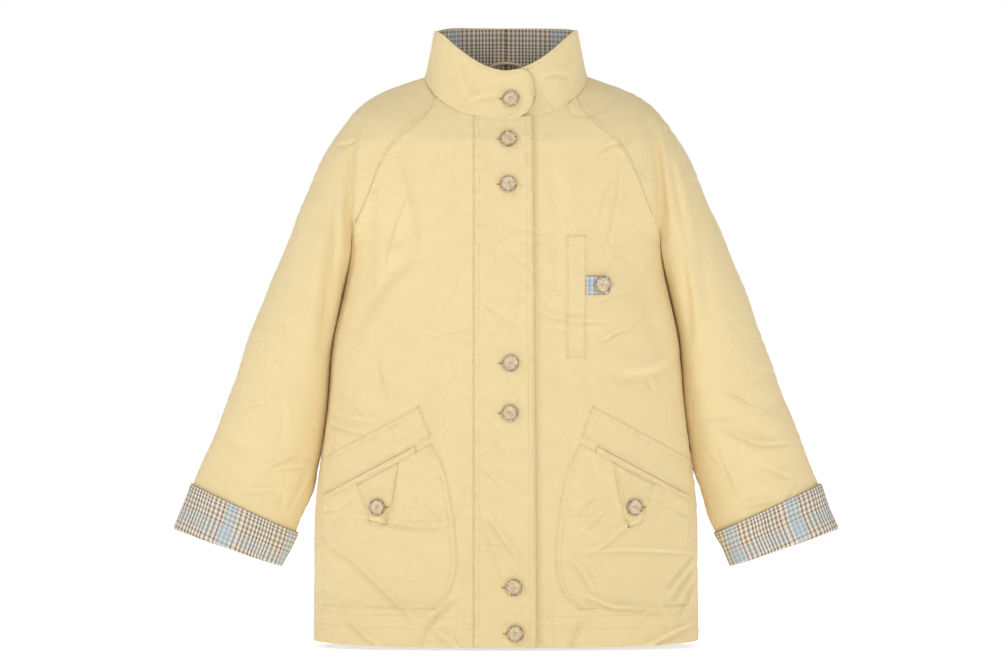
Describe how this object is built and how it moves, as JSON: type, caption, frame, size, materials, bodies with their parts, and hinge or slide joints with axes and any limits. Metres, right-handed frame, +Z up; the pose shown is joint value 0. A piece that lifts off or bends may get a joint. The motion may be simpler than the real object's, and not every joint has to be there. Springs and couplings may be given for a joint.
{
  "type": "stand-collar jacket",
  "caption": "Hip-length jacket with a stand collar, lapped buttoned front, raglan sleeves, turned-back plaid cuffs and tabbed pockets.",
  "frame": {"origin": "middle of the hanger loop, inside the back of the neck", "axes": "+Z up, the front faces -Y, +X towards the wearer's left"},
  "size_m": [0.8768, 0.2325, 0.8021],
  "materials": {
    "body_cloth": "pale yellow brushed cotton twill, matt",
    "plaid_cloth": "woven cotton plaid in cream, taupe, rust and light blue",
    "horn": "beige marbled horn-look resin, satin",
    "label": "white satin tape, blank",
    "thread": "cotton button thread"
  },
  "bodies": {
    "shell": {"back_panel": "body_cloth", "front_side_right": "body_cloth", "front_side_left": "body_cloth", "shoulder_front_right": "body_cloth", "shoulder_front_left": "body_cloth", "shoulder_back_right": "body_cloth", "shoulder_back_left": "body_cloth", "lining_back": "plaid_cloth", "lining_side_right": "plaid_cloth", "lining_side_left": "plaid_cloth", "lining_shoulder_right": "plaid_cloth", "lining_shoulder_left": "plaid_cloth", "hem_turn_up": "body_cloth", "collar_back": "body_cloth", "collar_back_facing": "plaid_cloth", "neck_label": "label", "pocket_right": "body_cloth", "pocket_left": "body_cloth", "pocket_top_right": "body_cloth", "pocket_top_left": "body_cloth", "pocket_welt_right": "body_cloth", "pocket_welt_left": "body_cloth", "pocket_buttons": "horn", "pocket_button_threads": "thread", "chest_welt": "body_cloth", "chest_pocket_bag": "plaid_cloth", "chest_button": "horn", "chest_button_thread": "thread"},
    "front_right": {"front_right": "body_cloth", "front_band": "body_cloth", "front_facing_right": "body_cloth", "lining_front_right": "plaid_cloth", "collar_end_right": "body_cloth", "collar_facing_right": "plaid_cloth"},
    "front_left": {"front_left": "body_cloth", "front_facing_left": "body_cloth", "lining_front_left": "plaid_cloth", "collar_end_left": "body_cloth", "collar_facing_left": "plaid_cloth", "front_buttons": "horn", "collar_button": "horn", "front_button_threads": "thread"},
    "sleeve_right": {"sleeve_front_right": "body_cloth", "sleeve_back_right": "body_cloth", "sleeve_lining_right": "plaid_cloth", "cuff_right": "plaid_cloth"},
    "sleeve_left": {"sleeve_front_left": "body_cloth", "sleeve_back_left": "body_cloth", "sleeve_lining_left": "plaid_cloth", "cuff_left": "plaid_cloth"},
    "tab_right": {"pocket_tab_right": "body_cloth"},
    "tab_left": {"pocket_tab_left": "body_cloth"},
    "tab_chest": {"chest_tab": "plaid_cloth"},
    "hanger_loop": {"hanger_loop": "body_cloth"}
  },
  "joints": [
    {"name": "front_right_fold", "type": "hinge", "parent": "shell", "child": "front_right", "pos_m": [-0.056, -0.1015, -0.064], "axis": [-0.0524, -0.0112, -0.9986], "range_deg": [0, 70], "deforming": ["front_band", "front_facing_right", "collar_end_right", "collar_facing_right", "pocket_right", "collar_back", "collar_back_facing"]},
    {"name": "front_left_fold", "type": "hinge", "parent": "shell", "child": "front_left", "pos_m": [0.056, -0.1015, -0.064], "axis": [-0.0524, 0.0112, 0.9986], "range_deg": [0, 28], "deforming": ["pocket_left", "collar_end_left", "collar_facing_left"]},
    {"name": "sleeve_right_swing", "type": "hinge", "parent": "shell", "child": "sleeve_right", "pos_m": [-0.2, 0, -0.062], "axis": [0, 1, 0], "range_deg": [0, 40]},
    {"name": "sleeve_left_swing", "type": "hinge", "parent": "shell", "child": "sleeve_left", "pos_m": [0.2, 0, -0.062], "axis": [0, -1, 0], "range_deg": [0, 40]},
    {"name": "pocket_tab_right_lift", "type": "hinge", "parent": "shell", "child": "tab_right", "pos_m": [-0.1653, -0.09259, -0.52423], "axis": [-0.8498, 0.2616, -0.4576], "range_deg": [0, 150], "deforming": ["pocket_tab_right"]},
    {"name": "pocket_tab_left_lift", "type": "hinge", "parent": "shell", "child": "tab_left", "pos_m": [0.1653, -0.09259, -0.52423], "axis": [-0.8498, -0.2616, 0.4576], "range_deg": [0, 150], "deforming": ["pocket_tab_left"]},
    {"name": "chest_tab_lift", "type": "hinge", "parent": "shell", "child": "tab_chest", "pos_m": [0.10443, -0.09875, -0.286], "axis": [0, 0, -1], "range_deg": [0, 150], "deforming": ["chest_tab"]},
    {"name": "hanger_loop_flip", "type": "hinge", "parent": "shell", "child": "hanger_loop", "pos_m": [0, 0.062, -0.0075], "axis": [1, 0, 0], "range_deg": [0, 100]}
  ],
  "couplings": [
    {"joint": "front_left_fold", "follows": "front_right_fold", "ratio": 0.4}
  ]
}
